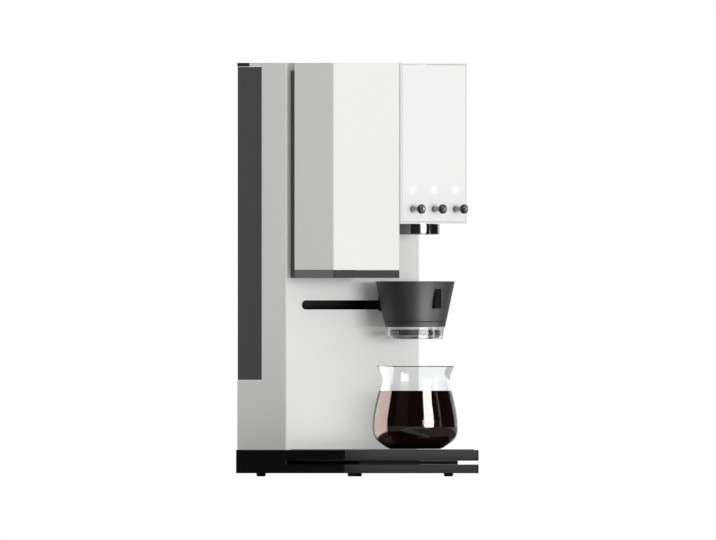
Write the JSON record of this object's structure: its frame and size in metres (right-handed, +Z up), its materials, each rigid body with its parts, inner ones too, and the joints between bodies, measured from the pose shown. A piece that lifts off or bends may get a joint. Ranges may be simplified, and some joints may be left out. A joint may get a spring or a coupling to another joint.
{
  "type": "coffee maker with grinder",
  "caption": "Tall one-cup coffee maker with a built-in grinder block, a brew head with dials, a sliding filter holder, a weighing platform, a rear water tank and a glass carafe.",
  "frame": {"origin": "middle of the footprint, on the worktop under the feet", "axes": "+Z up, +X to the machine's right as its user sees it, -Y out of its front"},
  "size_m": [0.182, 0.195, 0.4436],
  "materials": {
    "white_shell": "satin white",
    "white_panel": "gloss white",
    "grey_trim": "satin dark grey",
    "black_gloss": "near-black, smooth",
    "black_matte": "fine matte black",
    "cone_grey": "satin charcoal",
    "clear_plastic": "clear",
    "smoked_plastic": "dark tinted, smooth",
    "carafe_glass": "clear blown glass",
    "lens": "lit white lens",
    "dial_metal": "fine turned",
    "shower_metal": "polished",
    "steel": "plain steel",
    "rubber": "matte",
    "board": "solder-masked board"
  },
  "bodies": {
    "machine": {"base_chassis": "black_gloss", "foot_front_left": "rubber", "foot_front_right": "rubber", "foot_rear_left": "rubber", "foot_rear_right": "rubber", "load_cell": "steel", "scale_pedestal": "black_matte", "column_shell": "white_shell", "bulkhead": "white_shell", "rear_lower_cover": "grey_trim", "slot_liner": "black_matte", "tank_socket": "black_matte", "grinder_neck": "grey_trim", "head_neck": "grey_trim", "grinder_cover": "white_shell", "grinder_band": "grey_trim", "hopper_funnel": "clear_plastic", "burr_housing": "grey_trim", "grinder_motor": "steel", "grinder_frame": "steel", "grounds_chute": "black_matte", "head_shell": "white_shell", "head_front_panel": "white_panel", "display_lens": "lens", "dial_board": "board", "shower_housing": "shower_metal", "spout_motor": "steel", "spout_hose": "clear_plastic", "carriage_rail": "steel", "heater_block": "steel", "water_pump": "black_matte", "power_board": "board", "power_inlet": "black_matte"},
    "platform": {"drip_platform": "black_gloss", "drip_grille": "black_matte"},
    "carafe": {"carafe_glass": "carafe_glass"},
    "tank": {"water_tank": "smoked_plastic", "tank_valve": "black_matte"},
    "tank_lid": {"tank_lid": "black_matte"},
    "hopper_lid": {"hopper_lid": "white_shell"},
    "ring_burr": {"ring_burr": "steel"},
    "cone_burr": {"cone_burr": "steel"},
    "motor_pinion": {"motor_pinion": "steel"},
    "spout": {"spout_turret": "shower_metal"},
    "carriage": {"carriage_block": "black_matte", "carriage_head": "black_matte"},
    "dripper": {"dripper_cone": "cone_grey", "dripper_front_pad": "black_matte", "dripper_rear_pad": "black_matte", "dripper_collar": "clear_plastic", "dripper_drain_plate": "black_matte"},
    "spindle_left": {"spindle_left": "steel"},
    "spindle_centre": {"spindle_centre": "steel"},
    "spindle_right": {"spindle_right": "steel"},
    "dial_left": {"dial_left": "dial_metal"},
    "dial_centre": {"dial_centre": "dial_metal"},
    "dial_right": {"dial_right": "dial_metal"},
    "power_rocker": {"power_rocker": "black_gloss"}
  },
  "joints": [
    {"name": "platform_pull", "type": "slide", "parent": "machine", "child": "platform", "axis": [0, -1, 0], "range_m": [0, 0.11]},
    {"name": "carafe_pull", "type": "slide", "parent": "platform", "child": "carafe", "axis": [0, -1, 0], "range_m": [0, 0.11]},
    {"name": "tank_pull", "type": "slide", "parent": "machine", "child": "tank", "axis": [0, 1, 0], "range_m": [0, 0.06]},
    {"name": "tank_lid_hinge", "type": "hinge", "parent": "tank", "child": "tank_lid", "pos_m": [0, 0.0751, 0.4436], "axis": [1, 0, 0], "range_deg": [0, 90]},
    {"name": "hopper_lid_hinge", "type": "hinge", "parent": "machine", "child": "hopper_lid", "pos_m": [-0.04245, -0.016, 0.4436], "axis": [-1, 0, 0], "range_deg": [0, 90]},
    {"name": "grind_adjust", "type": "hinge", "parent": "machine", "child": "ring_burr", "pos_m": [-0.04245, -0.041, 0.374], "axis": [0, 0, 1], "range_deg": [0, 120]},
    {"name": "burr_spin", "type": "hinge", "parent": "machine", "child": "cone_burr", "pos_m": [-0.04245, -0.041, 0.35], "axis": [0, 0, 1], "continuous": true},
    {"name": "pinion_spin", "type": "hinge", "parent": "machine", "child": "motor_pinion", "pos_m": [-0.06165, -0.041, 0.316], "axis": [0, 0, 1], "continuous": true},
    {"name": "spout_spin", "type": "hinge", "parent": "machine", "child": "spout", "pos_m": [0.04525, -0.043, 0.262], "axis": [0, 0, 1], "continuous": true},
    {"name": "carriage_slide", "type": "slide", "parent": "machine", "child": "carriage", "axis": [-1, 0, 0], "range_m": [0, 0.0905]},
    {"name": "dripper_pull", "type": "slide", "parent": "carriage", "child": "dripper", "axis": [0, -1, 0], "range_m": [0, 0.1]},
    {"name": "push_left", "type": "slide", "parent": "machine", "child": "spindle_left", "axis": [0, 1, 0], "range_m": [0, 0.0008], "stiffness_N_per_m": 400},
    {"name": "push_centre", "type": "slide", "parent": "machine", "child": "spindle_centre", "axis": [0, 1, 0], "range_m": [0, 0.0008], "stiffness_N_per_m": 400},
    {"name": "push_right", "type": "slide", "parent": "machine", "child": "spindle_right", "axis": [0, 1, 0], "range_m": [0, 0.0008], "stiffness_N_per_m": 400},
    {"name": "turn_left", "type": "hinge", "parent": "spindle_left", "child": "dial_left", "pos_m": [0.01655, -0.08, 0.2868], "axis": [0, -1, 0], "continuous": true},
    {"name": "turn_centre", "type": "hinge", "parent": "spindle_centre", "child": "dial_centre", "pos_m": [0.04525, -0.08, 0.2868], "axis": [0, -1, 0], "continuous": true},
    {"name": "turn_right", "type": "hinge", "parent": "spindle_right", "child": "dial_right", "pos_m": [0.07395, -0.08, 0.2868], "axis": [0, -1, 0], "continuous": true},
    {"name": "power_tip", "type": "hinge", "parent": "machine", "child": "power_rocker", "pos_m": [0.01, 0.0924, 0.06], "axis": [1, 0, 0], "range_deg": [-5, 5]}
  ],
  "couplings": [
    {"joint": "pinion_spin", "follows": "burr_spin", "ratio": -3}
  ]
}
